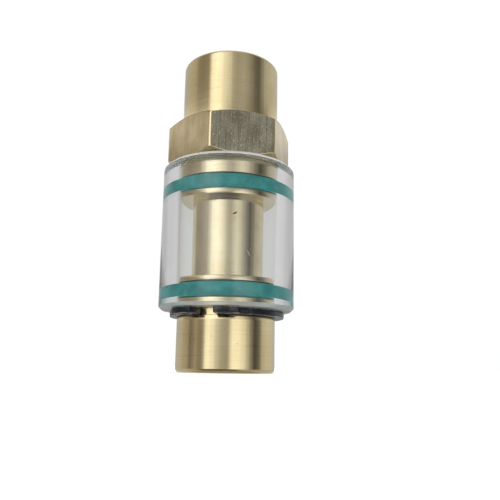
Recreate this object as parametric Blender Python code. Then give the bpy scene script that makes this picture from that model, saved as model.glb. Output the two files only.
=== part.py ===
"""Sight glass with a built-in strainer, orifice and check valve, for an oil return line.

A brass body, turned like a spool, carries a clear sleeve on two O-rings. Oil enters the lower
port, passes the strainer and the orifice jet, leaves the body through the lower cross ports,
rises behind the sleeve where it can be seen, goes back in through the upper cross ports and
lifts the check ball on its way to the upper port. The sleeve is pushed on from below against
the hexagon and is kept there by a circlip.

Metres, +Z up. The origin is the centre of the lower end face, and the front is -Y.
"""
import math

import bmesh
import bpy
from mathutils import Matrix, Vector

MM = 0.001

# Driving dimensions
HEX_ACROSS_FLATS = 22.0 * MM
HEX_BOTTOM = 40.25 * MM
HEX_TOP = 49.05 * MM
HEX_CORNER_ANGLE = -16.5          # degrees from the front, positive towards +X
BODY_LENGTH = 62.2 * MM
UPPER_END_RADIUS = 9.7 * MM
LAND_RADIUS = 9.5 * MM
WAIST_RADIUS = 7.05 * MM
WAIST_BOTTOM = 17.5 * MM
WAIST_TOP = 32.6 * MM

SLEEVE_RADIUS = 13.15 * MM
SLEEVE_BORE_RADIUS = 9.6 * MM
SLEEVE_BOTTOM = 11.75 * MM
SLEEVE_TOP = 40.15 * MM
SLEEVE_CHAMFER = 0.6 * MM

SEAL_CENTRES = {"lower_o_ring": 15.05 * MM, "upper_o_ring": 35.15 * MM}
SEAL_GROOVE_WIDTH = 3.0 * MM
SEAL_GROOVE_RADIUS = 7.4 * MM
SEAL_WIDTH = 2.8 * MM             # along the axis, squeezed

CIRCLIP_GROOVE_RADIUS = 9.0 * MM  # standard groove for a 19 mm shaft
CIRCLIP_GROOVE_BOTTOM = 10.35 * MM
CIRCLIP_GROOVE_WIDTH = 1.35 * MM
CIRCLIP_THICKNESS = 1.2 * MM
CIRCLIP_GAP_ANGLE = -19.3         # degrees from the front, positive towards +X

PORT_RADIUS = 5.9 * MM            # tapping bore of a G 1/4 thread
PORT_DEPTH = 12.0 * MM
PORT_MOUTH_RADIUS = 6.9 * MM
PORT_MOUTH_DEPTH = 0.8 * MM

CROSS_PORT_RADIUS = 1.3 * MM
LOWER_CROSS_PORT = 22.3 * MM      # height of the ports' axis
UPPER_CROSS_PORT = 29.3 * MM
CHAMBER_RADIUS = 1.9 * MM         # drilled passage between the port and its cross ports
DRILL_POINT = 1.1 * MM            # length of the cone that a drill leaves
CHAMBER_PAST_PORTS = 0.4 * MM     # how far a chamber runs past its cross ports

STRAINER_POCKET_RADIUS = 5.2 * MM
STRAINER_POCKET_TOP = 14.2 * MM
JET_POCKET_RADIUS = 4.2 * MM
JET_POCKET_TOP = 17.2 * MM
JET_BORE_RADIUS = 2.5 * MM
JET_BORE_TOP = 20.8 * MM

SEAT_POCKET_RADIUS = 3.6 * MM
SEAT_POCKET_BOTTOM = 35.0 * MM
VALVE_CHAMBER_BOTTOM = 36.4 * MM
VALVE_CHAMBER_RADIUS = 4.4 * MM
RETAINER_BORE_RADIUS = 5.05 * MM
RETAINER_BORE_BOTTOM = 46.0 * MM

BALL_RADIUS = 3.175 * MM          # a quarter-inch ball
SEAT_RADIUS = 2.3 * MM            # radius of the edge that the ball closes

GAP = 0.1 * MM                    # between pieces that touch or nearly touch
BODY_SEGMENTS = 48
INNER_SEGMENTS = 32


def clear_scene():
    for item in list(bpy.data.objects):
        bpy.data.objects.remove(item, do_unlink=True)


def material(name, colour, roughness, metallic=0.0, transmission=0.0):
    made = bpy.data.materials.new(name)
    made.use_nodes = True
    shader = made.node_tree.nodes["Principled BSDF"]
    shader.inputs["Base Color"].default_value = (*colour, 1.0)
    shader.inputs["Roughness"].default_value = roughness
    shader.inputs["Metallic"].default_value = metallic
    shader.inputs["Transmission Weight"].default_value = transmission
    return made


def linked_object(name, mesh, finish=None):
    made = bpy.data.objects.new(name, mesh)
    bpy.context.scene.collection.objects.link(made)
    if finish is not None:
        mesh.materials.append(finish)
    return made


def mesh_from(bm, name):
    """Close the bmesh into a mesh with outward faces, smooth between its sharp edges."""
    bmesh.ops.remove_doubles(bm, verts=bm.verts, dist=1e-7)
    bmesh.ops.recalc_face_normals(bm, faces=bm.faces)
    mesh = bpy.data.meshes.new(name)
    bm.to_mesh(mesh)
    bm.free()
    mesh.shade_smooth()
    mesh.set_sharp_from_angle(angle=math.radians(30))
    return mesh


def turned(name, outline, segments, finish=None, closed=False):
    """Spin an outline of (radius, height) points about Z.

    An open outline starts and ends on the axis, and a closed one is a ring's section.
    """
    bm = bmesh.new()
    points = [bm.verts.new((radius, 0.0, height)) for radius, height in outline]
    edges = [bm.edges.new(pair) for pair in zip(points, points[1:])]
    if closed:
        edges.append(bm.edges.new((points[-1], points[0])))
    bmesh.ops.spin(
        bm, geom=points + edges, cent=(0, 0, 0), axis=(0, 0, 1),
        angle=math.tau, steps=segments, use_merge=True,
    )
    return linked_object(name, mesh_from(bm, name), finish)


def arc(centre, radius, start, end, steps):
    """Points of an arc in the (radius, height) plane, from start to end in degrees."""
    angles = [math.radians(start + (end - start) * i / steps) for i in range(steps + 1)]
    return [(centre[0] + radius * math.cos(a), centre[1] + radius * math.sin(a)) for a in angles]


def from_front(angle, radius):
    """The (x, y) of a point at an angle in degrees from the front, positive towards +X."""
    turn = math.radians(angle)
    return radius * math.sin(turn), -radius * math.cos(turn)


def prism(name, outline, bottom, top, finish=None):
    """Extrude a closed (x, y) outline from bottom to top."""
    bm = bmesh.new()
    face = bm.faces.new([bm.verts.new((x, y, bottom)) for x, y in outline])
    raised = bmesh.ops.extrude_face_region(bm, geom=[face])["geom"]
    moved = [item for item in raised if isinstance(item, bmesh.types.BMVert)]
    bmesh.ops.translate(bm, verts=moved, vec=(0, 0, top - bottom))
    return linked_object(name, mesh_from(bm, name), finish)


def rod(name, radius, start, end, segments):
    """A plain cylinder from start to end, used for drilling and slotting."""
    direction = Vector(end) - Vector(start)
    middle = (Vector(start) + Vector(end)) / 2
    turn = direction.to_track_quat("Z", "Y").to_matrix().to_4x4()
    bm = bmesh.new()
    bmesh.ops.create_cone(
        bm, cap_ends=True, segments=segments, radius1=radius, radius2=radius,
        depth=direction.length, matrix=Matrix.Translation(middle) @ turn,
    )
    return linked_object(name, mesh_from(bm, name))


def combine(target, tool, operation):
    """Boolean the target with a tool object, which stays in the scene as a guide."""
    step = target.modifiers.new(tool.name, "BOOLEAN")
    step.operation = operation
    step.object = tool
    step.solver = "EXACT"
    tool.hide_render = True
    tool.display_type = "WIRE"


def seal_groove(centre):
    """The four outline points of an O-ring groove, upwards."""
    low = centre - SEAL_GROOVE_WIDTH / 2
    high = centre + SEAL_GROOVE_WIDTH / 2
    return [(LAND_RADIUS, low), (SEAL_GROOVE_RADIUS, low),
            (SEAL_GROOVE_RADIUS, high), (LAND_RADIUS, high)]


def body_blank():
    """The outside of the body as it leaves the lathe, without its hexagon."""
    edge = 0.4 * MM
    rounding = 0.5 * MM
    clip_top = CIRCLIP_GROOVE_BOTTOM + CIRCLIP_GROOVE_WIDTH
    outline = [(0, 0), (LAND_RADIUS - edge, 0), (LAND_RADIUS, edge)]
    outline += [(LAND_RADIUS, CIRCLIP_GROOVE_BOTTOM), (CIRCLIP_GROOVE_RADIUS, CIRCLIP_GROOVE_BOTTOM),
                (CIRCLIP_GROOVE_RADIUS, clip_top), (LAND_RADIUS, clip_top)]
    outline += seal_groove(SEAL_CENTRES["lower_o_ring"])
    outline += [(LAND_RADIUS, WAIST_BOTTOM), (WAIST_RADIUS, WAIST_BOTTOM),
                (WAIST_RADIUS, WAIST_TOP), (LAND_RADIUS, WAIST_TOP)]
    outline += seal_groove(SEAL_CENTRES["upper_o_ring"])
    middle_of_hex = (HEX_BOTTOM + HEX_TOP) / 2
    outline += [(LAND_RADIUS, middle_of_hex), (UPPER_END_RADIUS, middle_of_hex)]
    corner = (UPPER_END_RADIUS - rounding, BODY_LENGTH - rounding)
    outline += arc(corner, rounding, 0, 90, 3)
    outline += [(0, BODY_LENGTH)]
    return outline


def hexagon(name):
    """The hexagon with both ends chamfered at 30 degrees, as turned from hexagon bar."""
    corner_radius = HEX_ACROSS_FLATS / 2 / math.cos(math.radians(30))
    corners = [from_front(HEX_CORNER_ANGLE + 60 * i, corner_radius) for i in range(6)]
    bar = prism(name, corners, HEX_BOTTOM, HEX_TOP)
    face_radius = HEX_ACROSS_FLATS / 2 - 0.1 * MM
    reach = corner_radius + 1.0 * MM
    drop = (reach - face_radius) * math.tan(math.radians(30))
    chamfers = turned(
        "hexagon_chamfers",
        [(0, HEX_BOTTOM - GAP), (face_radius, HEX_BOTTOM - GAP), (face_radius, HEX_BOTTOM),
         (reach, HEX_BOTTOM + drop), (reach, HEX_TOP - drop), (face_radius, HEX_TOP),
         (face_radius, HEX_TOP + GAP), (0, HEX_TOP + GAP)],
        BODY_SEGMENTS,
    )
    combine(bar, chamfers, "INTERSECT")
    return bar


def lower_bore(name):
    """Lower port, strainer pocket, jet bore and the blind chamber behind the jet."""
    below = -1.0 * MM
    chamber_top = LOWER_CROSS_PORT + CROSS_PORT_RADIUS + CHAMBER_PAST_PORTS
    return turned(
        name,
        [(0, below), (PORT_MOUTH_RADIUS, below), (PORT_MOUTH_RADIUS, 0),
         (PORT_RADIUS, PORT_MOUTH_DEPTH), (PORT_RADIUS, PORT_DEPTH),
         (STRAINER_POCKET_RADIUS, PORT_DEPTH), (STRAINER_POCKET_RADIUS, STRAINER_POCKET_TOP),
         (JET_POCKET_RADIUS, STRAINER_POCKET_TOP), (JET_POCKET_RADIUS, JET_POCKET_TOP),
         (JET_BORE_RADIUS, JET_POCKET_TOP), (JET_BORE_RADIUS, JET_BORE_TOP),
         (CHAMBER_RADIUS, JET_BORE_TOP), (CHAMBER_RADIUS, chamber_top),
         (0, chamber_top + DRILL_POINT)],
        INNER_SEGMENTS,
    )


def upper_bore(name):
    """Blind chamber, seat pocket, valve chamber, retainer bore and upper port."""
    above = BODY_LENGTH + 1.0 * MM
    floor = BODY_LENGTH - PORT_DEPTH
    chamber_bottom = UPPER_CROSS_PORT - CROSS_PORT_RADIUS - CHAMBER_PAST_PORTS
    return turned(
        name,
        [(0, chamber_bottom - DRILL_POINT), (CHAMBER_RADIUS, chamber_bottom),
         (CHAMBER_RADIUS, SEAT_POCKET_BOTTOM), (SEAT_POCKET_RADIUS, SEAT_POCKET_BOTTOM),
         (SEAT_POCKET_RADIUS, VALVE_CHAMBER_BOTTOM), (VALVE_CHAMBER_RADIUS, VALVE_CHAMBER_BOTTOM),
         (VALVE_CHAMBER_RADIUS, RETAINER_BORE_BOTTOM), (RETAINER_BORE_RADIUS, RETAINER_BORE_BOTTOM),
         (RETAINER_BORE_RADIUS, floor), (PORT_RADIUS, floor),
         (PORT_RADIUS, BODY_LENGTH - PORT_MOUTH_DEPTH), (PORT_MOUTH_RADIUS, BODY_LENGTH),
         (PORT_MOUTH_RADIUS, above), (0, above)],
        INNER_SEGMENTS,
    )


def valve_body(finish):
    """The one-piece brass body."""
    body = turned("valve_body", body_blank(), BODY_SEGMENTS, finish)
    combine(body, hexagon("hexagon_bar"), "UNION")
    combine(body, lower_bore("lower_bore"), "DIFFERENCE")
    combine(body, upper_bore("upper_bore"), "DIFFERENCE")
    reach = WAIST_RADIUS + 1.0 * MM
    for name, height in (("lower_cross_port", LOWER_CROSS_PORT), ("upper_cross_port", UPPER_CROSS_PORT)):
        drill = rod(name, CROSS_PORT_RADIUS, (-reach, 0, height), (reach, 0, height), 16)
        combine(body, drill, "DIFFERENCE")


def sight_sleeve(finish):
    """The clear tube, with its outer edges chamfered and its bore eased for the O-rings."""
    ease = 0.3 * MM
    outer, bore = SLEEVE_RADIUS, SLEEVE_BORE_RADIUS
    turned(
        "sight_sleeve",
        [(bore, SLEEVE_BOTTOM + ease), (bore + ease, SLEEVE_BOTTOM), (outer - SLEEVE_CHAMFER, SLEEVE_BOTTOM),
         (outer, SLEEVE_BOTTOM + SLEEVE_CHAMFER), (outer, SLEEVE_TOP - SLEEVE_CHAMFER),
         (outer - SLEEVE_CHAMFER, SLEEVE_TOP), (bore + ease, SLEEVE_TOP), (bore, SLEEVE_TOP - ease)],
        BODY_SEGMENTS, finish, closed=True,
    )


def o_ring(name, finish):
    """An O-ring squeezed between its groove and the sleeve's bore."""
    inner = SEAL_GROOVE_RADIUS + GAP
    outer = LAND_RADIUS
    middle = (inner + outer) / 2
    sides = 8
    section = []
    for i in range(sides):
        turn = math.tau * (i + 0.5) / sides
        section.append((middle + (outer - inner) / 2 * math.cos(turn),
                        SEAL_CENTRES[name] + SEAL_WIDTH / 2 * math.sin(turn)))
    turned(name, section, BODY_SEGMENTS, finish, closed=True)


def circlip_outline():
    """The circlip's plan as one closed loop: outer edge, one lug, inner edge, the other lug."""
    inner = CIRCLIP_GROOVE_RADIUS + GAP
    lug_tip = 12.8 * MM
    lug_start, lug_end = 9.5, 31.5    # degrees either side of the gap's middle
    back_width, neck_width = 2.5 * MM, 1.5 * MM
    lug_steps, ring_steps = 4, 34
    outer_edge = []
    for i in range(lug_steps + 1):
        angle = lug_start + (lug_end - lug_start) * i / lug_steps
        outer_edge.append((angle, lug_tip))
    for i in range(ring_steps + 1):
        angle = lug_end + (360 - 2 * lug_end) * i / ring_steps
        width = neck_width + (back_width - neck_width) * (1 - math.cos(math.radians(angle))) / 2
        outer_edge.append((angle, inner + width))
    for i in range(lug_steps + 1):
        angle = 360 - lug_end + (lug_end - lug_start) * i / lug_steps
        outer_edge.append((angle, lug_tip))
    inner_steps = 40
    inner_edge = []
    for i in range(inner_steps + 1):
        angle = 360 - lug_start - (360 - 2 * lug_start) * i / inner_steps
        inner_edge.append((angle, inner))
    return [from_front(CIRCLIP_GAP_ANGLE + angle, radius) for angle, radius in outer_edge + inner_edge]


def circlip(finish):
    """The retaining ring under the sleeve, with a plier hole in each lug."""
    bottom = CIRCLIP_GROOVE_BOTTOM + (CIRCLIP_GROOVE_WIDTH - CIRCLIP_THICKNESS) / 2
    top = bottom + CIRCLIP_THICKNESS
    ring = prism("circlip", circlip_outline(), bottom, top, finish)
    hole_radius, hole_circle, hole_angle = 0.95 * MM, 11.05 * MM, 20.5
    for name, side in (("left_plier_hole", -1), ("right_plier_hole", 1)):
        x, y = from_front(CIRCLIP_GAP_ANGLE + side * hole_angle, hole_circle)
        drill = rod(name, hole_radius, (x, y, bottom - MM), (x, y, top + MM), 12)
        combine(ring, drill, "DIFFERENCE")


def strainer(ring_finish, mesh_finish):
    """A mesh cup with a flange, and the pressed ring that holds the flange against its step."""
    flange = STRAINER_POCKET_RADIUS - GAP
    seat = STRAINER_POCKET_TOP - GAP
    sheet = 0.35 * MM
    cup = 3.8 * MM
    cup_top = 15.7 * MM
    turned(
        "strainer_mesh",
        [(0, cup_top - sheet), (cup - sheet, cup_top - sheet), (cup - sheet, seat - sheet),
         (flange, seat - sheet), (flange, seat), (cup, seat), (cup, cup_top), (0, cup_top)],
        INNER_SEGMENTS, mesh_finish,
    )
    top = seat - sheet - GAP
    bottom = PORT_DEPTH + 0.3 * MM
    inside, bevel = 4.1 * MM, 0.25 * MM
    turned(
        "strainer_ring",
        [(inside, bottom + bevel), (inside + bevel, bottom), (flange - bevel, bottom),
         (flange, bottom + bevel), (flange, top), (inside, top)],
        INNER_SEGMENTS, ring_finish, closed=True,
    )


def orifice_jet(finish):
    """The screwed jet that meters the flow: a slotted head, a shank and a one millimetre hole."""
    head_bottom = 16.0 * MM
    head_top = JET_POCKET_TOP - GAP
    head_radius = 3.3 * MM
    shank = JET_BORE_RADIUS - GAP
    tip = JET_BORE_TOP - GAP
    hole, lead_in = 0.5 * MM, 1.1 * MM
    jet = turned(
        "orifice_jet",
        [(hole, head_bottom + lead_in), (lead_in, head_bottom), (head_radius, head_bottom),
         (head_radius, head_top), (shank, head_top), (shank, tip - 0.3 * MM),
         (shank - 0.3 * MM, tip), (lead_in, tip), (hole, tip - lead_in)],
        24, finish, closed=True,
    )
    slot_width, slot_depth = 0.9 * MM, 0.7 * MM
    half, reach = slot_width / 2, head_radius + MM
    slot = prism("jet_slot", [(-reach, -half), (reach, -half), (reach, half), (-reach, half)],
                 head_bottom - MM, head_bottom + slot_depth)
    combine(jet, slot, "DIFFERENCE")


def check_valve(seat_finish, ball_finish, spring_finish, retainer_finish):
    """Seat, ball, spring and the screwed retainer that the spring pushes against."""
    seat_top = VALVE_CHAMBER_BOTTOM - GAP
    seat_bottom = SEAT_POCKET_BOTTOM + GAP
    seat_outside = SEAT_POCKET_RADIUS - GAP
    cone = 0.35 * MM
    turned(
        "seat_ring",
        [(SEAT_RADIUS - cone, seat_bottom), (seat_outside, seat_bottom), (seat_outside, seat_top),
         (SEAT_RADIUS, seat_top), (SEAT_RADIUS - cone, seat_top - cone)],
        INNER_SEGMENTS, seat_finish, closed=True,
    )
    rise = math.sqrt(BALL_RADIUS ** 2 - SEAT_RADIUS ** 2)
    centre = seat_top + rise + GAP
    ball = turned("check_ball", arc((0, 0), BALL_RADIUS, -90, 90, 10), 24, ball_finish)
    ball.location = (0, 0, centre)
    retainer_bottom = RETAINER_BORE_BOTTOM + 0.8 * MM
    check_spring(centre, retainer_bottom - GAP, spring_finish)
    spring_retainer(retainer_bottom, retainer_finish)


def check_spring(ball_centre, top, finish):
    """A round-wire compression spring with closed ends, from the ball up to the retainer."""
    wire, coil = 0.22 * MM, 2.05 * MM
    contact = math.sqrt(BALL_RADIUS ** 2 - (coil - wire) ** 2)
    first = ball_centre + contact + wire
    last = top - wire
    turns, steps_per_turn = 5.5, 12
    closed_turn, closed_pitch = 1.0, 2 * wire + 0.06 * MM
    steps = int(turns * steps_per_turn)
    open_rise = (last - first) - 2 * closed_turn * closed_pitch
    curve = bpy.data.curves.new("check_spring", "CURVE")
    curve.dimensions = "3D"
    curve.bevel_depth = wire
    curve.bevel_resolution = 1
    curve.use_fill_caps = True
    path = curve.splines.new("POLY")
    path.points.add(steps)
    for i, point in enumerate(path.points):
        turn = turns * i / steps
        below = min(turn, closed_turn)
        above = max(0.0, turn - (turns - closed_turn))
        middle = turn - below - above
        height = (below + above) * closed_pitch + middle / (turns - 2 * closed_turn) * open_rise
        angle = math.tau * turn
        point.co = (coil * math.cos(angle), coil * math.sin(angle), first + height, 1.0)
    curve.materials.append(finish)
    made = bpy.data.objects.new("check_spring", curve)
    bpy.context.scene.collection.objects.link(made)


def spring_retainer(bottom, finish):
    """The screwed bush above the spring, with a flow hole and a slot for its driver."""
    top = BODY_LENGTH - PORT_DEPTH - 0.5 * MM
    outside = RETAINER_BORE_RADIUS - GAP
    hole, bevel = 1.75 * MM, 0.3 * MM
    bush = turned(
        "spring_retainer",
        [(hole, bottom), (outside - bevel, bottom), (outside, bottom + bevel),
         (outside, top - bevel), (outside - bevel, top), (hole + bevel, top), (hole, top - bevel)],
        INNER_SEGMENTS, finish, closed=True,
    )
    half, reach, depth = 0.6 * MM, outside + MM, 0.9 * MM
    slot = prism("retainer_slot", [(-reach, -half), (reach, -half), (reach, half), (-reach, half)],
                 top - depth, top + MM)
    combine(bush, slot, "DIFFERENCE")


def build():
    clear_scene()
    brass = material("brass", (0.62, 0.50, 0.28), 0.3, metallic=1.0)
    clear_plastic = material("clear_plastic", (0.92, 0.94, 0.94), 0.05, transmission=0.9)
    green_rubber = material("green_rubber", (0.03, 0.24, 0.20), 0.5)
    black_steel = material("black_steel", (0.03, 0.035, 0.04), 0.4, metallic=0.8)
    bright_steel = material("bright_steel", (0.6, 0.6, 0.6), 0.2, metallic=1.0)
    white_plastic = material("white_plastic", (0.85, 0.85, 0.82), 0.4)

    valve_body(brass)
    sight_sleeve(clear_plastic)
    for name in SEAL_CENTRES:
        o_ring(name, green_rubber)
    circlip(black_steel)
    strainer(brass, bright_steel)
    orifice_jet(brass)
    check_valve(white_plastic, bright_steel, bright_steel, brass)


build()
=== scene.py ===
"""Looks of the in-line sight glass: turned brass, a clear sleeve, green O-rings, a black circlip.

Every piece stands where its CAD node stands and takes its size from that node's box. The body
is one fine turned surface with its hexagon, threads, grooves and drilled passages.
"""

import math

import bmesh
import bpy
from mathutils import Matrix, Vector


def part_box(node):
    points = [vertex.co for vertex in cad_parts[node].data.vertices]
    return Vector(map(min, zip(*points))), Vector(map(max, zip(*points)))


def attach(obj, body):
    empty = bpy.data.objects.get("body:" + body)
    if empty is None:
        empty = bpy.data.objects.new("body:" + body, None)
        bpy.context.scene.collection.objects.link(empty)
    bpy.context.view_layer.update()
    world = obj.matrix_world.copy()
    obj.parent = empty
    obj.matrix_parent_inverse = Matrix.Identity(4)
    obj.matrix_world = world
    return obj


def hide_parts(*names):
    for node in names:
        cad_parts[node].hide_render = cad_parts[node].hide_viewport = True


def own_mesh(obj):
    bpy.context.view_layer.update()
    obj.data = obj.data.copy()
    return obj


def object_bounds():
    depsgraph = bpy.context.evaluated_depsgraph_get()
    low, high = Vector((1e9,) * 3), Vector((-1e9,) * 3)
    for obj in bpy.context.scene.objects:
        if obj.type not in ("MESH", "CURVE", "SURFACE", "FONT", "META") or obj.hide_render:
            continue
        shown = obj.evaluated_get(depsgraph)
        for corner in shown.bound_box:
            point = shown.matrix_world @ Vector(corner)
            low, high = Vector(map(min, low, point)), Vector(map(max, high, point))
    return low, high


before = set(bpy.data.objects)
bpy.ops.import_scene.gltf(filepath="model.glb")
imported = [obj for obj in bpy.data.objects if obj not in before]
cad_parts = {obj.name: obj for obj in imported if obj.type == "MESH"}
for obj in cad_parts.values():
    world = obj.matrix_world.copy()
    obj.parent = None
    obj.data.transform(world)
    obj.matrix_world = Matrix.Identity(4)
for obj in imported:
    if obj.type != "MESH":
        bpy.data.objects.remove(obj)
CAD_LOW, CAD_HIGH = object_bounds()
HEIGHT = CAD_HIGH.z - CAD_LOW.z

MM = 0.001
GAP = 0.1 * MM                    # the CAD's gap between pieces that touch

# Sizes of the body that no other node's box gives
HEX_ACROSS_FLATS = 22.0 * MM
HEX_TOP = 49.05 * MM
HEX_CORNER_ANGLE = -16.5          # degrees from the front, positive towards +X
UPPER_END_RADIUS = 9.7 * MM
LAND_RADIUS = 9.5 * MM
WAIST_RADIUS = 7.05 * MM
WAIST_BOTTOM = 17.5 * MM
WAIST_TOP = 32.6 * MM
SEAL_GROOVE_RADIUS = 7.4 * MM
SEAL_GROOVE_WIDTH = 3.0 * MM
CIRCLIP_GROOVE_RADIUS = 9.0 * MM
SLEEVE_BORE_RADIUS = 9.6 * MM
PORT_MOUTH_RADIUS = 6.9 * MM
PORT_DEPTH = 12.0 * MM
CROSS_PORT_RADIUS = 1.3 * MM
CROSS_PORT_HEIGHTS = (22.3 * MM, 29.3 * MM)
CHAMBER_RADIUS = 1.9 * MM
CHAMBER_PAST_PORTS = 0.4 * MM
DRILL_POINT = 1.1 * MM

# G 1/4 thread
THREAD_PITCH = 1.337 * MM
THREAD_CREST = 5.9 * MM
THREAD_ROOT = 6.58 * MM

SECTOR_COLUMNS = 24               # columns of the body's surface in each sixth of a turn
SIXTH = math.tau / 6


# Nodes and their sizes

def low(node):
    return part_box(node)[0].z


def high(node):
    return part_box(node)[1].z


def radius(node):
    """Outer radius of a round node, which stands around the Z axis."""
    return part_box(node)[1].x


def middle(node):
    return (low(node) + high(node)) / 2


# Meshes

def new_object(name, data, *finishes):
    """A new object in the scene, with its materials in order."""
    made = bpy.data.objects.new(name, data)
    bpy.context.scene.collection.objects.link(made)
    for finish in finishes:
        data.materials.append(finish)
    return made


def to_mesh(name, bm):
    """Turn a bmesh into a mesh and free it."""
    mesh = bpy.data.meshes.new(name)
    bm.to_mesh(mesh)
    bm.free()
    return mesh


def final_mesh(item):
    """A copy of the mesh that an object's modifiers or its curve's section make."""
    bpy.context.view_layer.update()
    graph = bpy.context.evaluated_depsgraph_get()
    return bpy.data.meshes.new_from_object(item.evaluated_get(graph))


def apply_modifiers(item):
    """Replace the object's mesh with the one its modifiers make."""
    mesh = final_mesh(item)
    item.modifiers.clear()
    item.data = mesh


def smooth(mesh, angle=35):
    mesh.shade_smooth()
    mesh.set_sharp_from_angle(angle=math.radians(angle))


def new_curve(name, dimensions, section, resolution):
    """An empty curve whose strands have a round section of that radius."""
    curve = bpy.data.curves.new(name, "CURVE")
    curve.dimensions = dimensions
    curve.bevel_depth = section
    curve.bevel_resolution = resolution
    return curve


def add_strand(curve, points, cyclic=False):
    """Run a strand of the curve through the points."""
    strand = curve.splines.new("POLY")
    strand.points.add(len(points) - 1)
    strand.use_cyclic_u = cyclic
    for point, place in zip(strand.points, points):
        point.co = (*place, 1)


def curve_mesh(name, curve):
    """The curve's mesh. The object that was needed to make it is thrown away."""
    made = new_object(name, curve)
    mesh = final_mesh(made)
    bpy.data.objects.remove(made, do_unlink=True)
    return mesh


def even_columns(count):
    return [math.tau * i / count for i in range(count)]


def surface(name, rows, columns, ring=False):
    """A turned skin through rows of points.

    A row is a (radius, height) pair or a function from an angle to one. A row of radius 0 is a
    pole. With ring the last row joins the first, otherwise the skin runs from pole to pole.
    """
    bm = bmesh.new()
    loops = []
    for row in rows:
        if not callable(row) and row[0] == 0:
            loops.append([bm.verts.new((0, 0, row[1]))])
            continue
        loop = []
        for angle in columns:
            r, z = row(angle) if callable(row) else row
            loop.append(bm.verts.new((r * math.sin(angle), -r * math.cos(angle), z)))
        loops.append(loop)
    pairs = list(zip(loops, loops[1:]))
    if ring:
        pairs.append((loops[-1], loops[0]))
    count = len(columns)
    for first, second in pairs:
        for i in range(count):
            j = (i + 1) % count
            if len(first) == 1:
                corners = (first[0], second[j], second[i])
            elif len(second) == 1:
                corners = (first[i], first[j], second[0])
            else:
                corners = (first[i], first[j], second[j], second[i])
            bm.faces.new(corners)
    bmesh.ops.recalc_face_normals(bm, faces=bm.faces)
    return to_mesh(name, bm)


def rounded(outline, steps=3, closed=False):
    """An outline of (radius, height, rounding) corners as points, each rounded corner an arc."""
    share = 2.1                   # an arc takes a little less than half of each side
    count = len(outline)
    points = []
    for i, (r, z, rounding) in enumerate(outline):
        inner = closed or 0 < i < count - 1
        if not rounding or not inner:
            points.append((r, z))
            continue
        here = Vector((r, z))
        before = Vector(outline[i - 1][:2]) - here
        after = Vector(outline[(i + 1) % count][:2]) - here
        half = before.angle(after) / 2
        reach = min(rounding / math.tan(half), before.length / share, after.length / share)
        size = reach * math.tan(half)
        inward = (before.normalized() + after.normalized()).normalized()
        centre = here + inward * (size / math.sin(half))
        start = here + before.normalized() * reach - centre
        end = here + after.normalized() * reach - centre
        sweep = start.angle_signed(end)
        for k in range(steps + 1):
            turned = Matrix.Rotation(-sweep * k / steps, 2) @ start
            points.append(tuple(centre + turned))
    return points


def turned_piece(name, outline, finish, columns=96):
    """A round piece with a hole, spun from the closed outline of its section."""
    mesh = surface(name, rounded(outline, closed=True), even_columns(columns), ring=True)
    smooth(mesh)
    return new_object(name, mesh, finish)


def cut(item, tool):
    """Subtract the tool from the item and throw the tool away."""
    step = item.modifiers.new("cut", "BOOLEAN")
    step.operation = "DIFFERENCE"
    step.solver = "EXACT"
    step.object = tool
    apply_modifiers(item)
    bpy.data.objects.remove(tool, do_unlink=True)


def rod(start, end, size):
    """A plain cylinder used as a drill."""
    direction = end - start
    turn = direction.to_track_quat("Z", "Y").to_matrix().to_4x4()
    bm = bmesh.new()
    bmesh.ops.create_cone(
        bm, cap_ends=True, segments=32, radius1=size, radius2=size,
        depth=direction.length, matrix=Matrix.Translation((start + end) / 2) @ turn,
    )
    return new_object("drill", to_mesh("drill", bm))


def block(corner_a, corner_b):
    """A plain box used as a slotting cutter."""
    bm = bmesh.new()
    size = Matrix.Diagonal((*(corner_b - corner_a), 1))
    bmesh.ops.create_cube(bm, size=1.0, matrix=Matrix.Translation((corner_a + corner_b) / 2) @ size)
    return new_object("slotter", to_mesh("slotter", bm))


# Materials

class Nodes:
    """A short way to write a node tree."""

    def __init__(self, tree):
        self.tree = tree

    def fill(self, node, inputs):
        """Connect each input that is given a socket, and set the others."""
        for key, value in inputs.items():
            if isinstance(value, bpy.types.NodeSocket):
                self.tree.links.new(value, node.inputs[key])
            else:
                node.inputs[key].default_value = value

    def add(self, kind, inputs, **settings):
        node = self.tree.nodes.new(kind)
        for key, value in settings.items():
            setattr(node, key, value)
        self.fill(node, inputs)
        return node

    def math(self, operation, a, b):
        return self.add("ShaderNodeMath", {0: a, 1: b}, operation=operation).outputs[0]

    def plus(self, value, other, share):
        """The value and a share of the other one."""
        return self.math("ADD", value, self.math("MULTIPLY", other, share))

    def span(self, value, low_in, high_in, low_out=0.0, high_out=1.0):
        """Map the value from one range to another and stop at its ends."""
        return self.add("ShaderNodeMapRange", {
            "Value": value, "From Min": low_in, "From Max": high_in, "To Min": low_out, "To Max": high_out,
        }).outputs[0]

    def mix(self, factor, first, second):
        """Mix two colours. The colour sockets of a Mix node are its third pair."""
        return self.add("ShaderNodeMix", {0: factor, 6: first, 7: second}, data_type="RGBA").outputs[2]


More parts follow.
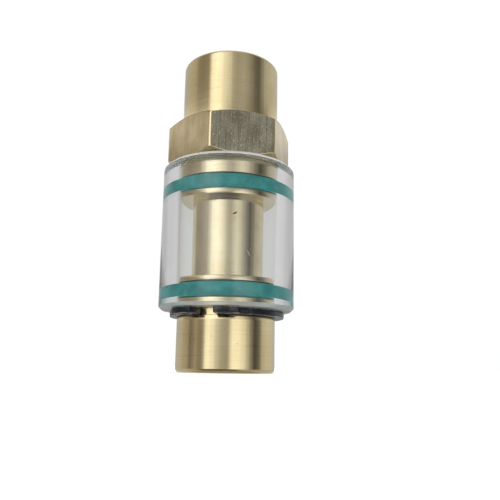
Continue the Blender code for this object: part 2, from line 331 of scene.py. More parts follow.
class Finish(Nodes):
    """The nodes of a new material, whose patterns are set out in the object's own metres."""

    def __init__(self, name):
        self.material = bpy.data.materials.new(name)
        self.material.use_nodes = True
        super().__init__(self.material.node_tree)
        self.place = self.add("ShaderNodeTexCoord", {}).outputs["Object"]

    def noise(self, scale, detail):
        """Noise stretched by a scale along each axis, in cycles per metre."""
        mapped = self.add("ShaderNodeMapping", {"Vector": self.place, "Scale": scale}).outputs[0]
        made = self.add("ShaderNodeTexNoise", {"Vector": mapped, "Scale": 1.0, "Detail": detail})
        return made.outputs["Fac"]

    def fine_noise(self, scale, detail):
        """Noise with the same scale along every axis."""
        return self.noise((scale, scale, scale), detail)

    def relief(self, coarse, fine):
        """A height for a bump, mostly from the coarse pattern."""
        return self.plus(self.math("MULTIPLY", coarse, 0.7), fine, 0.3)

    def bump(self, height, strength, distance):
        inputs = {"Height": height, "Strength": strength, "Distance": distance}
        return self.add("ShaderNodeBump", inputs).outputs[0]

    def shade(self, inputs):
        """Fill the shader's inputs and give back the material."""
        self.fill(self.tree.nodes["Principled BSDF"], inputs)
        return self.material


CLEAR_IOR = 1.49                  # acrylic's
PIT_ROUGHNESS = 0.3               # how much rougher brass is in a pit
MARK_ROUGHNESS = 0.6             # and in a waist mark
MARK_CORE = 0.6                  # share of a waist mark's size where it hasn't begun to fade
MARK_DEPTH = 1.0 * MM            # how far in from the waist's surface it reaches


def mark_mask(nodes, angle, height, half_length, half_width, tilt):
    """1 inside a short mark on the waist, at an angle from the front and a height, fading out."""
    turn = math.radians(angle)
    local = nodes.add("ShaderNodeMapping", {
        "Vector": nodes.place,
        "Location": (WAIST_RADIUS * math.sin(turn), -WAIST_RADIUS * math.cos(turn), height),
        "Rotation": (0, -math.radians(tilt), turn), "Scale": (half_length, MARK_DEPTH, half_width),
    }, vector_type="TEXTURE").outputs[0]
    away = nodes.add("ShaderNodeVectorMath", {0: local}, operation="LENGTH").outputs["Value"]
    return nodes.span(away, MARK_CORE, 1.0, 1.0, 0.0)


def turned_brass(name, light, dark, roughness=0.1, scuffs_and_shadows=()):
    """Brass off the lathe: fine rings around the axis, faint stains, small pits, and any scuffs and painted
    nick shadows given.
    """
    line_brown, pit_brown = (0.42, 0.34, 0.2, 1), (0.28, 0.2, 0.1, 1)
    nodes = Finish(name)
    rings = nodes.noise((25, 25, 4600), 4)
    fine_rings = nodes.noise((60, 60, 12000), 2)
    stain = nodes.noise((160, 160, 110), 4)
    tone = nodes.span(stain, 0.38, 0.66)
    ring_tone = nodes.span(rings, 0.35, 0.65, 0.0, 0.35)
    base = nodes.mix(nodes.math("MAXIMUM", tone, ring_tone), light, dark)
    lines = nodes.span(nodes.noise((90, 90, 5200), 4), 0.56, 0.7, 0.0, 0.22)
    base = nodes.mix(lines, base, line_brown)
    pits = nodes.span(nodes.fine_noise(1500, 2), 0.68, 0.76, 0.0, 0.5)
    base = nodes.mix(pits, base, pit_brown)
    rough = nodes.span(rings, 0.3, 0.7, roughness * 0.75, roughness * 1.4)
    rough = nodes.plus(rough, pits, PIT_ROUGHNESS)
    # Each mark mixes in its colour, the scuff's paler brass and the nick's painted shadow alike
    for mark, colour in scuffs_and_shadows:
        inside = mark_mask(nodes, *mark)
        base = nodes.mix(inside, base, colour)
        rough = nodes.plus(rough, inside, MARK_ROUGHNESS)
    return nodes.shade({
        "Base Color": base, "Roughness": rough, "Metallic": 1.0,
        "Normal": nodes.bump(nodes.relief(rings, fine_rings), 0.13, 0.04 * MM),
    })


def bar_brass(name, light, dark, wear):
    """A flat of the hexagon, left as drawn bar: scratches along the axis, grit and stains."""
    dent_brown, rubbed_bright = (0.2, 0.17, 0.11, 1), (0.95, 0.88, 0.7, 1)
    nodes = Finish(name)
    scratches = nodes.noise((3200, 3200, 130), 4)
    streaks = nodes.noise((900, 900, 60), 3)
    blotch = nodes.noise((260, 260, 200), 4)
    grit = nodes.noise((4200, 4200, 2600), 3)
    base = nodes.mix(nodes.span(blotch, 0.36, 0.66), light, dark)
    dents = nodes.span(scratches, 0.5, 0.68, 0.0, 0.15 + 0.55 * wear)
    base = nodes.mix(dents, base, dent_brown)
    marks = nodes.span(grit, 0.6, 0.7, 0.0, 0.3 + 0.4 * wear)
    return nodes.shade({
        "Base Color": nodes.mix(marks, base, rubbed_bright), "Metallic": 1.0,
        "Roughness": nodes.span(streaks, 0.3, 0.7, 0.14, 0.24),
        "Normal": nodes.bump(nodes.relief(scratches, grit), 0.25 + 0.35 * wear, 0.06 * MM),
    })


def clear_wall(name):
    """The polished wall of the clear sleeve, with the faintest waviness of an extruded tube."""
    nodes = Finish(name)
    wave = nodes.noise((120, 120, 60), 2)
    smear = nodes.noise((300, 300, 40), 3)
    return nodes.shade({
        "Base Color": (0.965, 0.975, 0.968, 1), "Roughness": nodes.span(smear, 0.4, 0.75, 0.015, 0.06),
        "IOR": CLEAR_IOR, "Transmission Weight": 1.0, "Normal": nodes.bump(wave, 0.12, 0.1 * MM),
    })


def frosted(name, dark, light, roughness, clear):
    """Faced surface of the clear sleeve, frosted by the tool."""
    nodes = Finish(name)
    grain = nodes.fine_noise(2500, 3)
    return nodes.shade({
        "Base Color": nodes.mix(grain, dark, light),
        "Roughness": nodes.span(grain, 0.3, 0.7, roughness * 0.8, roughness * 1.2),
        "IOR": CLEAR_IOR, "Transmission Weight": clear, "Normal": nodes.bump(grain, 0.25, 0.04 * MM),
    })


def rubber(name, light, dark):
    """Moulded green rubber with a slight bloom."""
    nodes = Finish(name)
    bloom = nodes.fine_noise(420, 4)
    grain = nodes.fine_noise(4000, 2)
    return nodes.shade({
        "Base Color": nodes.mix(nodes.span(bloom, 0.4, 0.66), dark, light),
        "Roughness": nodes.span(grain, 0.3, 0.7, 0.25, 0.4),
        "Normal": nodes.bump(grain, 0.15, 0.03 * MM),
    })


def dark_steel(name, dark, light):
    """Blackened and oiled spring steel."""
    nodes = Finish(name)
    wear = nodes.noise((380, 380, 500), 4)
    grain = nodes.fine_noise(3500, 3)
    return nodes.shade({
        "Base Color": nodes.mix(nodes.span(wear, 0.5, 0.72), dark, light),
        "Roughness": nodes.span(grain, 0.3, 0.7, 0.2, 0.4), "Metallic": 0.7,
        "Normal": nodes.bump(grain, 0.3, 0.04 * MM),
    })


def bright_steel(name, roughness):
    """Drawn or ground stainless steel."""
    nodes = Finish(name)
    grain = nodes.fine_noise(1800, 3)
    return nodes.shade({
        "Base Color": nodes.mix(grain, (0.62, 0.62, 0.6, 1), (0.5, 0.5, 0.5, 1)),
        "Roughness": nodes.span(grain, 0.3, 0.7, roughness * 0.7, roughness * 1.3), "Metallic": 1.0,
    })


def white_plastic(name):
    """Turned PTFE, slightly waxy."""
    nodes = Finish(name)
    rings = nodes.noise((60, 60, 6000), 3)
    return nodes.shade({
        "Base Color": nodes.mix(rings, (0.86, 0.86, 0.84, 1), (0.76, 0.76, 0.73, 1)),
        "Roughness": nodes.span(rings, 0.3, 0.7, 0.32, 0.48),
    })


# Marks on the waist, a scuff and the painted shadow of a nick: (degrees from the front, height, half length,
# half width, tilt), colour
WAIST_SCUFF_AND_SHADOWS = (
    ((10.2, 29.45 * MM, 0.48 * MM, 0.2 * MM, 24), (0.3, 0.26, 0.17, 1)),       # painted shadow of a nick
    ((12.0, 29.6 * MM, 0.26 * MM, 0.12 * MM, 24), (0.14, 0.12, 0.07, 1)),      # the painted shadow's darker middle
    ((33, 22.2 * MM, 0.62 * MM, 0.2 * MM, -60), (1.0, 0.99, 0.96, 1)),         # a pale scuff
)
BRASS = turned_brass("turned_brass", (0.86, 0.74, 0.45, 1), (0.78, 0.64, 0.36, 1))
# Paler brass under the sleeve: painted light standing in for the glass's whitish haze. It also carries the
# waist's marks
BRASS_PAINTED_HAZE = turned_brass("brass_painted_haze", (0.86, 0.77, 0.54, 1), (0.78, 0.67, 0.44, 1),
                               scuffs_and_shadows=WAIST_SCUFF_AND_SHADOWS)
BRASS_BAR = bar_brass("drawn_brass_bar", (0.74, 0.62, 0.4, 1), (0.6, 0.49, 0.27, 1), 0.0)
# The worn flats' darker colours are painted shade; their extra scratches and grit are real wear
BRASS_BAR_WORN_SHADED = bar_brass("scratched_shaded_brass_bar", (0.5, 0.47, 0.35, 1), (0.3, 0.28, 0.2, 1), 1.0)
BRASS_INSERT = turned_brass("insert_brass", (0.86, 0.7, 0.38, 1), (0.7, 0.54, 0.27, 1), 0.24)
CLEAR_WALL = clear_wall("clear_wall")
# The lower end's darker frosting is painted shade; the bevel's paler frosting paints a highlight line along
# the top edge
CUT_END_SHADED = frosted("frosted_end_shaded", (0.6, 0.6, 0.56, 1), (0.78, 0.79, 0.75, 1), 0.5, 0.7)
CUT_TOP = frosted("frosted_top", (0.76, 0.76, 0.73, 1), (0.88, 0.88, 0.85, 1), 0.34, 0.8)
CUT_BEVEL_HIGHLIGHT = frosted("frosted_bevel_highlight", (0.88, 0.88, 0.85, 1), (0.97, 0.97, 0.94, 1), 0.32, 0.55)
GREEN_RUBBER = rubber("green_rubber", (0.045, 0.35, 0.35, 1), (0.018, 0.24, 0.23, 1))
DARK_STEEL = dark_steel("blackened_steel", (0.022, 0.025, 0.032, 1), (0.08, 0.086, 0.1, 1))
# Rubbed circlip edges, made pale enough to paint grey highlights along them
EDGE_STEEL_HIGHLIGHT = dark_steel("rubbed_steel_edge_highlight", (0.2, 0.21, 0.23, 1), (0.8, 0.82, 0.85, 1))
BRIGHT_STEEL = bright_steel("bright_steel", 0.18)
WIRE_STEEL = bright_steel("wire_steel", 0.3)
WHITE_PLASTIC = white_plastic("white_plastic")


# The body

HEX_BOTTOM = high("sight_sleeve") + GAP
HEX_CORNER_BLUNT = 0.14 * MM      # how far the hexagon's corners are rubbed off
HEX_CORNER_RADIUS = HEX_ACROSS_FLATS / 2 / math.cos(math.radians(30)) - HEX_CORNER_BLUNT
HEX_FACE_RADIUS = HEX_ACROSS_FLATS / 2 - 0.1 * MM     # of the round faces inside its chamfers
WORN_SHADED_FLATS = (0, 3, 4)            # counted from the corner at HEX_CORNER_ANGLE; their brass is darker with painted shade, and more scratched
CHAMFER_SLOPE = math.tan(math.radians(30))


def hex_reach(angle):
    """Radius of the hexagon at an angle from the front."""
    off_corner = (angle - math.radians(HEX_CORNER_ANGLE)) % SIXTH
    off_flat = off_corner - SIXTH / 2
    return min(HEX_ACROSS_FLATS / 2 / math.cos(off_flat), HEX_CORNER_RADIUS)


def body_columns():
    """Angles for the body's columns: one on each corner of the hexagon, the rest even on its flat."""
    half_flat = math.acos(HEX_ACROSS_FLATS / 2 / HEX_CORNER_RADIUS)
    blunt = SIXTH / 2 - half_flat
    steps = SECTOR_COLUMNS - 2
    columns = []
    for sector in range(6):
        corner = math.radians(HEX_CORNER_ANGLE) + sector * SIXTH
        first, last = corner + blunt, corner + SIXTH - blunt
        columns.append(corner)
        columns += [first + (last - first) * i / steps for i in range(steps + 1)]
    return columns


def chamfer_drop(angle):
    """How far the 30 degree chamfer has come down at the hexagon's flat or corner."""
    return max(0.0, hex_reach(angle) - HEX_FACE_RADIUS) * CHAMFER_SLOPE


def hexagon_rows():
    """Rows from the shoulder, over the lower chamfer, up the flats and over the upper chamfer."""
    soft = 0.05 * MM
    edge = [(soft * 1.2, -soft * 0.7), (soft * 0.25, soft * 0.2), (0, soft * 1.2), (0, soft * 4)]

    def at(level, sign, inward, rise):
        return lambda angle: (hex_reach(angle) - inward, level + sign * (chamfer_drop(angle) + rise))

    lower = [at(HEX_BOTTOM, 1, *step) for step in edge]
    upper = [at(HEX_TOP, -1, *step) for step in reversed(edge)]
    face = HEX_FACE_RADIUS - soft
    return [(face, HEX_BOTTOM)] + lower + upper + [(face, HEX_TOP)]


def thread_rows(mouth, inward):
    """Rows of a female G 1/4 thread, from its mouth at height mouth towards the body's middle."""
    length = PORT_DEPTH - 0.4 * MM
    lead_in_slope = 0.9
    run_out = 1.5 * THREAD_PITCH
    steepness = 1.25              # above 1 it flattens the crests and roots
    steps_per_pitch = 10
    count = int(length / THREAD_PITCH * steps_per_pitch)
    rows = []
    for i in range(1, count + 1):
        depth = length * i / count
        z = mouth + inward * depth
        cone = PORT_MOUTH_RADIUS - depth * lead_in_slope
        fade = min(1.0, (length - depth) / run_out)

        def row(angle, z=z, cone=cone, fade=fade):
            phase = (z / THREAD_PITCH - angle / math.tau) % 1.0
            wave = max(-1.0, min(1.0, steepness * (4 * abs(phase - 0.5) - 1)))
            reach = THREAD_CREST + (THREAD_ROOT - THREAD_CREST) * (wave + 1) / 2 * fade
            return max(reach, cone), z

        rows.append(row)
    return rows


def lower_passage():
    """Corners of the lower bore, from its blind end down to the port's floor."""
    chamber_top = CROSS_PORT_HEIGHTS[0] + CROSS_PORT_RADIUS + CHAMBER_PAST_PORTS
    jet_tip = high("orifice_jet") + GAP
    jet_bore = 2.5 * MM
    jet_pocket = 4.2 * MM
    strainer_pocket = radius("strainer_ring") + GAP
    strainer_step = 14.2 * MM
    jet_step = 17.2 * MM
    edge = 0.06 * MM
    return rounded([
        (0, chamber_top + DRILL_POINT, 0), (CHAMBER_RADIUS, chamber_top, 0),
        (CHAMBER_RADIUS, jet_tip, edge), (jet_bore, jet_tip, 0), (jet_bore, jet_step, edge),
        (jet_pocket, jet_step, 0), (jet_pocket, strainer_step, edge),
        (strainer_pocket, strainer_step, 0), (strainer_pocket, PORT_DEPTH, edge),
        (THREAD_CREST, PORT_DEPTH, 0),
    ])


def upper_passage():
    """Corners of the upper bore, from the port's floor down to its blind end."""
    floor = CAD_HIGH.z - PORT_DEPTH
    chamber_bottom = CROSS_PORT_HEIGHTS[1] - CROSS_PORT_RADIUS - CHAMBER_PAST_PORTS
    retainer_bore = radius("spring_retainer") + GAP
    retainer_step = 46.0 * MM
    seat_pocket = radius("seat_ring") + GAP
    seat_floor = low("seat_ring") - GAP
    valve_floor = high("seat_ring") + GAP
    valve_chamber = 4.4 * MM
    edge = 0.06 * MM
    return rounded([
        (THREAD_CREST, floor, 0), (retainer_bore, floor, edge), (retainer_bore, retainer_step, 0),
        (valve_chamber, retainer_step, edge), (valve_chamber, valve_floor, 0),
        (seat_pocket, valve_floor, edge), (seat_pocket, seat_floor, 0),
        (CHAMBER_RADIUS, seat_floor, edge), (CHAMBER_RADIUS, chamber_bottom, 0),
        (0, chamber_bottom - DRILL_POINT, 0),
    ])


def spool_outline():
    """The outside from the lower mouth up to the shoulder under the hexagon."""
    edge = 0.1 * MM
    fine = 0.06 * MM
    clip_play = 0.075 * MM
    clip_low, clip_high = low("circlip") - clip_play, high("circlip") + clip_play
    end_rounding, end_top = 0.8 * MM, clip_low - 1.0 * MM

    def groove(node):
        centre = middle(node)
        bottom, top = centre - SEAL_GROOVE_WIDTH / 2, centre + SEAL_GROOVE_WIDTH / 2
        return [(LAND_RADIUS, bottom, edge), (SEAL_GROOVE_RADIUS, bottom, edge),
                (SEAL_GROOVE_RADIUS, top, edge), (LAND_RADIUS, top, edge)]

    end = rounded([
        (PORT_MOUTH_RADIUS, 0, 0), (LAND_RADIUS, 0, end_rounding), (LAND_RADIUS, end_top, 0),
    ], steps=7)
    outline = [(LAND_RADIUS, end_top + edge, 0), (LAND_RADIUS, clip_low, fine),
               (CIRCLIP_GROOVE_RADIUS, clip_low, fine), (CIRCLIP_GROOVE_RADIUS, clip_high, fine),
               (LAND_RADIUS, clip_high, fine)]
    outline += groove("lower_o_ring")
    outline += [(LAND_RADIUS, WAIST_BOTTOM, edge), (WAIST_RADIUS, WAIST_BOTTOM, edge),
                (WAIST_RADIUS, WAIST_TOP, edge), (LAND_RADIUS, WAIST_TOP, edge)]
    outline += groove("upper_o_ring")
    outline += [(LAND_RADIUS, HEX_BOTTOM, 0)]
    return end + rounded(outline)


def upper_end_outline():
    """The outside from the top of the hexagon to the upper mouth."""
    end_rounding = 0.7 * MM
    return rounded([
        (UPPER_END_RADIUS, HEX_TOP, 0), (UPPER_END_RADIUS, CAD_HIGH.z, end_rounding),
        (PORT_MOUTH_RADIUS, CAD_HIGH.z, 0),
    ], steps=6)


BODY_FINISHES = (BRASS, BRASS_BAR, BRASS_BAR_WORN_SHADED, BRASS_PAINTED_HAZE)
TURNED, BAR, WORN_SHADED_BAR, PAINTED_HAZE = range(len(BODY_FINISHES))


def choose_brass(mesh):
    """Give the hexagon's flats the drawn bar's material, three of them its worn kind, darkened with painted
    shade.

    The narrow facets where the corners are rubbed off stay as bright as the turned faces. Brass
    under the sleeve is paler: painted light, standing in for the whitish haze the glass lays over it.
    """
    sleeve_bottom = low("sight_sleeve")
    for face in mesh.polygons:
        level = HEX_BOTTOM < face.center.z < HEX_TOP
        outside = face.center.xy.length > HEX_FACE_RADIUS * 0.99
        upright = abs(face.normal.z) < 0.2
        if level and outside and upright:
            turn = math.atan2(face.normal.x, -face.normal.y) - math.radians(HEX_CORNER_ANGLE)
            flat, across = divmod(turn % math.tau / SIXTH, 1)
            on_flat = 0.4 < across < 0.6
            bar = WORN_SHADED_BAR if flat in WORN_SHADED_FLATS else BAR
            face.material_index = bar if on_flat else TURNED
        else:
            # Faces under the sleeve take the paler brass, a painted haze
            under_sleeve = sleeve_bottom < face.center.z < HEX_BOTTOM
            face.material_index = PAINTED_HAZE if under_sleeve else TURNED


def make_body():
    """The brass body as one skin, with its cross ports drilled and each face's kind of brass."""
    lower_thread = thread_rows(0.0, 1)
    upper_thread = thread_rows(CAD_HIGH.z, -1)
    rows = lower_passage() + lower_thread[::-1] + spool_outline() + hexagon_rows()
    rows += upper_end_outline() + upper_thread + upper_passage()
    mesh = surface("valve_body_look", rows, body_columns())
    body = new_object("valve_body_look", mesh, *BODY_FINISHES)
    reach = WAIST_RADIUS + 1.0 * MM
    for height in CROSS_PORT_HEIGHTS:
        cut(body, rod(Vector((-reach, 0, height)), Vector((reach, 0, height)), CROSS_PORT_RADIUS))
    choose_brass(body.data)
    smooth(body.data, 32)
    weighted = body.modifiers.new("even_shading", "WEIGHTED_NORMAL")
    weighted.keep_sharp = True
    apply_modifiers(body)
    return body


# The other pieces

FINE_COLUMNS = 160                # columns of the sleeve and the O-rings, which stand in view
LUG_START, LUG_END = 9.5, 31.5    # edges of a circlip's lug, in degrees from the gap's middle
LUG_MIDDLE = (LUG_START + LUG_END) / 2


def make_sleeve():
    """The clear tube: polished walls and frosted ends, the lower end darker as painted shade and the upper
    bevel paler as a painted highlight.
    """
    bottom, top, outer = low("sight_sleeve"), high("sight_sleeve"), radius("sight_sleeve")
    bore, bevel, ease, soft = SLEEVE_BORE_RADIUS, 0.6 * MM, 0.3 * MM, 0.16 * MM
    sleeve = turned_piece("sight_sleeve_look", [
        (bore, bottom + ease, soft), (bore + ease, bottom, soft), (outer - bevel, bottom, soft),
        (outer, bottom + bevel, soft), (outer, top - bevel, soft), (outer - bevel, top, soft),
        (bore + ease, top, soft), (bore, top - ease, soft),
    ], CLEAR_WALL, columns=FINE_COLUMNS)
    for finish in (CUT_END_SHADED, CUT_TOP, CUT_BEVEL_HIGHLIGHT):
        sleeve.data.materials.append(finish)
    wall_index, end_index, top_index, bevel_index = range(4)
    for face in sleeve.data.polygons:
        if face.normal.z > 0.1:
            bevelled = face.normal.z < 0.9 and face.center.xy.length > outer - bevel
            face.material_index = bevel_index if bevelled else top_index
        else:
            face.material_index = end_index if face.normal.z < -0.1 else wall_index
    return sleeve


def make_o_ring(node):
    """An O-ring squeezed flat against its groove's floor and the sleeve's bore."""
    inner = SEAL_GROOVE_RADIUS + 0.02 * MM
    outer = SLEEVE_BORE_RADIUS + 0.015 * MM
    half_width = SEAL_GROOVE_WIDTH / 2 - 0.04 * MM
    half_flat = 1.15 * MM
    bulge = half_width - half_flat
    steps = 12
    section = []
    for side in (1, -1):
        for i in range(steps + 1):
            turn = math.pi * i / steps
            r = (inner + outer) / 2 + side * (outer - inner) / 2 * math.cos(turn)
            section.append((r, middle(node) + side * (half_flat + bulge * math.sin(turn))))
    mesh = surface(node + "_look", section, even_columns(FINE_COLUMNS), ring=True)
    smooth(mesh, 50)
    return new_object(node + "_look", mesh, GREEN_RUBBER)


def circlip_edge():
    """The circlip's plan, as (angle from the gap's middle in degrees, radius) pairs."""
    inner = CIRCLIP_GROOVE_RADIUS + GAP
    tip = 12.8 * MM
    corner = 2.4
    back_width, neck_width = 2.5 * MM, 1.5 * MM
    back_start = LUG_END + 5
    inner_start = LUG_START + 1.2
    outer_steps, inner_steps = 60, 72

    def ring_outer(angle):
        width = neck_width + (back_width - neck_width) * (1 - math.cos(math.radians(angle))) / 2
        return inner + width

    def spread(first, steps):
        """Even angles from the first one round the back to its mirror image."""
        return [first + (360 - 2 * first) * i / steps for i in range(steps + 1)]

    neck = ring_outer(LUG_END)
    lug = [
        (LUG_START, inner + 0.25 * MM), (LUG_START, tip - 0.5 * MM), (LUG_START + 0.8, tip - 0.1 * MM),
        (LUG_START + corner, tip), (LUG_MIDDLE, tip + 0.05 * MM), (LUG_END - corner, tip),
        (LUG_END - 0.9, tip - 0.12 * MM), (LUG_END, tip - 0.55 * MM),
        (LUG_END + 0.4, neck + 0.5 * MM), (LUG_END + 2.4, neck + 0.05 * MM),
    ]
    ring = [(angle, ring_outer(angle)) for angle in spread(back_start, outer_steps)]
    other_lug = [(360 - angle, r) for angle, r in reversed(lug)]
    inside = [(360 - angle, inner) for angle in spread(inner_start, inner_steps)]
    return lug + ring + other_lug + inside


def make_circlip():
    """The retaining ring, stamped from sheet: rounded edges, two lugs, two plier holes."""
    gap_angle = -19.3
    edge = 0.18 * MM
    hole_radius, hole_circle = 0.95 * MM, 11.05 * MM
    curve = new_curve("circlip_look", "2D", edge, 2)
    curve.fill_mode = "BOTH"
    curve.extrude = (high("circlip") - low("circlip")) / 2 - edge
    curve.offset = -edge

    def place(angle, r):
        turn = math.radians(gap_angle + angle)
        return r * math.sin(turn), -r * math.cos(turn), 0

    add_strand(curve, [place(angle, r) for angle, r in circlip_edge()], cyclic=True)
    for side in (-1, 1):
        x, y, z = place(side * LUG_MIDDLE, hole_circle)
        hole = [(x + hole_radius * math.cos(a), y + hole_radius * math.sin(a), z) for a in even_columns(32)]
        add_strand(curve, hole, cyclic=True)
    mesh = curve_mesh("circlip_look", curve)
    mesh.transform(Matrix.Translation((0, 0, middle("circlip"))))
    bm = bmesh.new()
    bm.from_mesh(mesh)
    bmesh.ops.remove_doubles(bm, verts=bm.verts, dist=0.001 * MM)
    bmesh.ops.recalc_face_normals(bm, faces=bm.faces)
    bm.to_mesh(mesh)
    bm.free()
    smooth(mesh, 40)
    # The edge faces take the paler steel: rubbed edges with painted highlights
    for face in mesh.polygons:
        on_edge = 0.3 < abs(face.normal.z) < 0.95
        face.material_index = 1 if on_edge else 0
    return new_object("circlip_look", mesh, DARK_STEEL, EDGE_STEEL_HIGHLIGHT)


def slotted(item, half_width, level_from, level_to):
    """Mill a driver's slot along X across a screwed piece."""
    reach = 8 * MM
    cut(item, block(Vector((-reach, -half_width, level_from)), Vector((reach, half_width, level_to))))
    smooth(item.data)
    return item


def make_strainer_ring():
    """The bevelled ring that holds the strainer in its pocket."""
    inside, bevel = 4.1 * MM, 0.25 * MM
    bottom, top, outer = low("strainer_ring"), high("strainer_ring"), radius("strainer_ring")
    soft = 0.08 * MM
    return turned_piece("strainer_ring_look", [
        (inside, bottom + bevel, soft), (inside + bevel, bottom, soft), (outer - bevel, bottom, soft),
        (outer, bottom + bevel, soft), (outer, top, soft), (inside, top, soft),
    ], BRASS_INSERT)


def weave_disc(curve, size, level, spacing, wire):
    """Wires both ways across a disc, each passing over and under the ones that cross it."""
    count = int(size / spacing)
    for line in range(-count, count + 1):
        across = line * spacing
        half = math.sqrt(size ** 2 - across ** 2)
        steps = int(2 * half / spacing) * 2
        for side in (1, -1):
            points = []
            for i in range(steps + 1):
                along = -half + 2 * half * i / steps
                weave = wire * math.cos(math.pi * (along / spacing + line)) * side
                place = (along, across) if side == 1 else (across, along)
                points.append((*place, level + weave))
            add_strand(curve, points)


def make_strainer_mesh():
    """A cup of woven wire: a disc of crossing wires, hoops and uprights for its side, a rim."""
    wire, spacing = 0.07 * MM, 0.42 * MM
    cup = 3.8 * MM - wire
    rim = radius("strainer_mesh") - wire
    top, foot = high("strainer_mesh") - 2 * wire, low("strainer_mesh") + 2 * wire
    side_steps, rim_steps = 4, 3
    curve = new_curve("strainer_mesh_look", "3D", wire, 1)
    weave_disc(curve, cup, top, spacing, wire)
    for turn in even_columns(48):
        x, y = math.cos(turn), math.sin(turn)
        add_strand(curve, [(cup * x, cup * y, top), (cup * x, cup * y, foot), (rim * x, rim * y, foot)])
    hoops = [(cup, foot + (top - foot) * i / side_steps) for i in range(side_steps + 1)]
    hoops += [(cup + (rim - cup) * i / rim_steps, foot) for i in range(1, rim_steps + 1)]
    for r, z in hoops:
        add_strand(curve, [(r * math.cos(a), r * math.sin(a), z) for a in even_columns(64)], cyclic=True)
    return new_object("strainer_mesh_look", curve, WIRE_STEEL)


def make_orifice_jet():
    """The slotted jet with its one millimetre hole."""
    bottom, top = low("orifice_jet"), high("orifice_jet")
    head_top, head, shank = 17.1 * MM, radius("orifice_jet"), 2.4 * MM
    hole, lead_in, tip_bevel = 0.5 * MM, 1.1 * MM, 0.3 * MM
    head_rounding, soft = 0.2 * MM, 0.08 * MM
    half_slot, slot_depth = 0.45 * MM, 0.7 * MM
    jet = turned_piece("orifice_jet_look", [
        (hole, bottom + lead_in, 0), (lead_in, bottom, soft), (head, bottom, head_rounding),
        (head, head_top, soft), (shank, head_top, soft), (shank, top - tip_bevel, soft),
        (shank - tip_bevel, top, soft), (lead_in, top, soft), (hole, top - lead_in, 0),
    ], BRASS_INSERT, columns=64)
    return slotted(jet, half_slot, bottom - MM, bottom + slot_depth)


def make_seat_ring():
    """The ball's seat, a plain ring with its hole's upper edge coned."""
    bottom, top, outer = low("seat_ring"), high("seat_ring"), radius("seat_ring")
    edge, cone, soft = 2.3 * MM, 0.35 * MM, 0.05 * MM
    return turned_piece("seat_ring_look", [
        (edge - cone, bottom, soft), (outer, bottom, soft), (outer, top, soft),
        (edge, top, 0), (edge - cone, top - cone, 0),
    ], WHITE_PLASTIC, columns=64)


def make_ball():
    """The check ball, a fine sphere of the CAD ball's size."""
    lower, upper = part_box("check_ball")
    size = (upper.z - lower.z) / 2
    bm = bmesh.new()
    bmesh.ops.create_icosphere(bm, subdivisions=4, radius=size)
    bmesh.ops.translate(bm, verts=bm.verts, vec=(0, 0, (lower.z + upper.z) / 2))
    mesh = to_mesh("check_ball_look", bm)
    mesh.shade_smooth()
    return new_object("check_ball_look", mesh, BRIGHT_STEEL)


def make_spring():
    """A compression spring with closed ends, between the ball and the retainer."""
    wire, coil = 0.22 * MM, 2.05 * MM
    bottom, top = low("check_spring") + wire, high("check_spring") - wire
    turns, steps_per_turn = 5.5, 28
    closed_turn, closed_pitch = 1.0, 2 * wire + 0.06 * MM
    steps = int(turns * steps_per_turn)
    open_rise = (top - bottom) - 2 * closed_turn * closed_pitch
    points = []
    for i in range(steps + 1):
        turn = turns * i / steps
        below = min(turn, closed_turn)
        above = max(0.0, turn - (turns - closed_turn))
        between = (turn - below - above) / (turns - 2 * closed_turn)
        z = bottom + (below + above) * closed_pitch + between * open_rise
        angle = math.tau * turn
        points.append((coil * math.cos(angle), coil * math.sin(angle), z))
    curve = new_curve("check_spring_look", "3D", wire, 3)
    curve.use_fill_caps = True
    add_strand(curve, points)
    mesh = curve_mesh("check_spring_look", curve)
    mesh.shade_smooth()
    return new_object("check_spring_look", mesh, BRIGHT_STEEL)


def make_retainer():
    """The slotted bush screwed in over the spring."""
    bottom, top, outer = low("spring_retainer"), high("spring_retainer"), radius("spring_retainer")
    hole, bevel, soft = 1.75 * MM, 0.3 * MM, 0.08 * MM
    half_slot, slot_depth = 0.6 * MM, 0.9 * MM
    bush = turned_piece("spring_retainer_look", [
        (hole, bottom, soft), (outer - bevel, bottom, soft), (outer, bottom + bevel, soft),
        (outer, top - bevel, soft), (outer - bevel, top, soft), (hole + bevel, top, soft),
        (hole, top - bevel, soft),
    ], BRASS_INSERT)
    return slotted(bush, half_slot, top - slot_depth, top + MM)


def place_pieces():
    """Make every piece, put it on its body, and hide the CAD node it stands for."""
    pieces = [
        (make_body(), "body", "valve_body", "brass_body"),
        (make_sleeve(), "sleeve", "sight_sleeve", "clear_sleeve"),
        (make_o_ring("upper_o_ring"), "body", "upper_o_ring", "green_rubber"),
        (make_o_ring("lower_o_ring"), "body", "lower_o_ring", "green_rubber"),
        (make_circlip(), "circlip", "circlip", "black_spring_steel"),
        (make_strainer_ring(), "body", "strainer_ring", "brass_insert"),
        (make_strainer_mesh(), "body", "strainer_mesh", "wire_mesh"),
        (make_orifice_jet(), "body", "orifice_jet", "brass_insert"),
        (make_seat_ring(), "body", "seat_ring", "white_plastic"),
        (make_ball(), "ball", "check_ball", "bright_steel"),
        (make_spring(), "body", "check_spring", "bright_steel"),
        (make_retainer(), "body", "spring_retainer", "brass_insert"),
    ]
    for piece, body, node, finish in pieces:
        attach(piece, body)
        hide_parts(node)
        if node == "sight_sleeve":
            piece.visible_shadow = False
        if node == "check_spring":
            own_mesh(piece)


# The stage

def make_floor():
    """A wide white floor. Metal and glass don't see it: they see the studio's walls and ground."""
    bm = bmesh.new()
    bmesh.ops.create_grid(bm, x_segments=2, y_segments=2, size=12 * HEIGHT)
    paper = Finish("white_paper").shade({
        "Base Color": (0.97, 0.98, 1.0, 1), "Roughness": 0.9, "Specular IOR Level": 0.0,
    })
    floor = new_object("floor", to_mesh("floor", bm), paper)
    floor.visible_glossy = False
    floor.visible_transmission = False


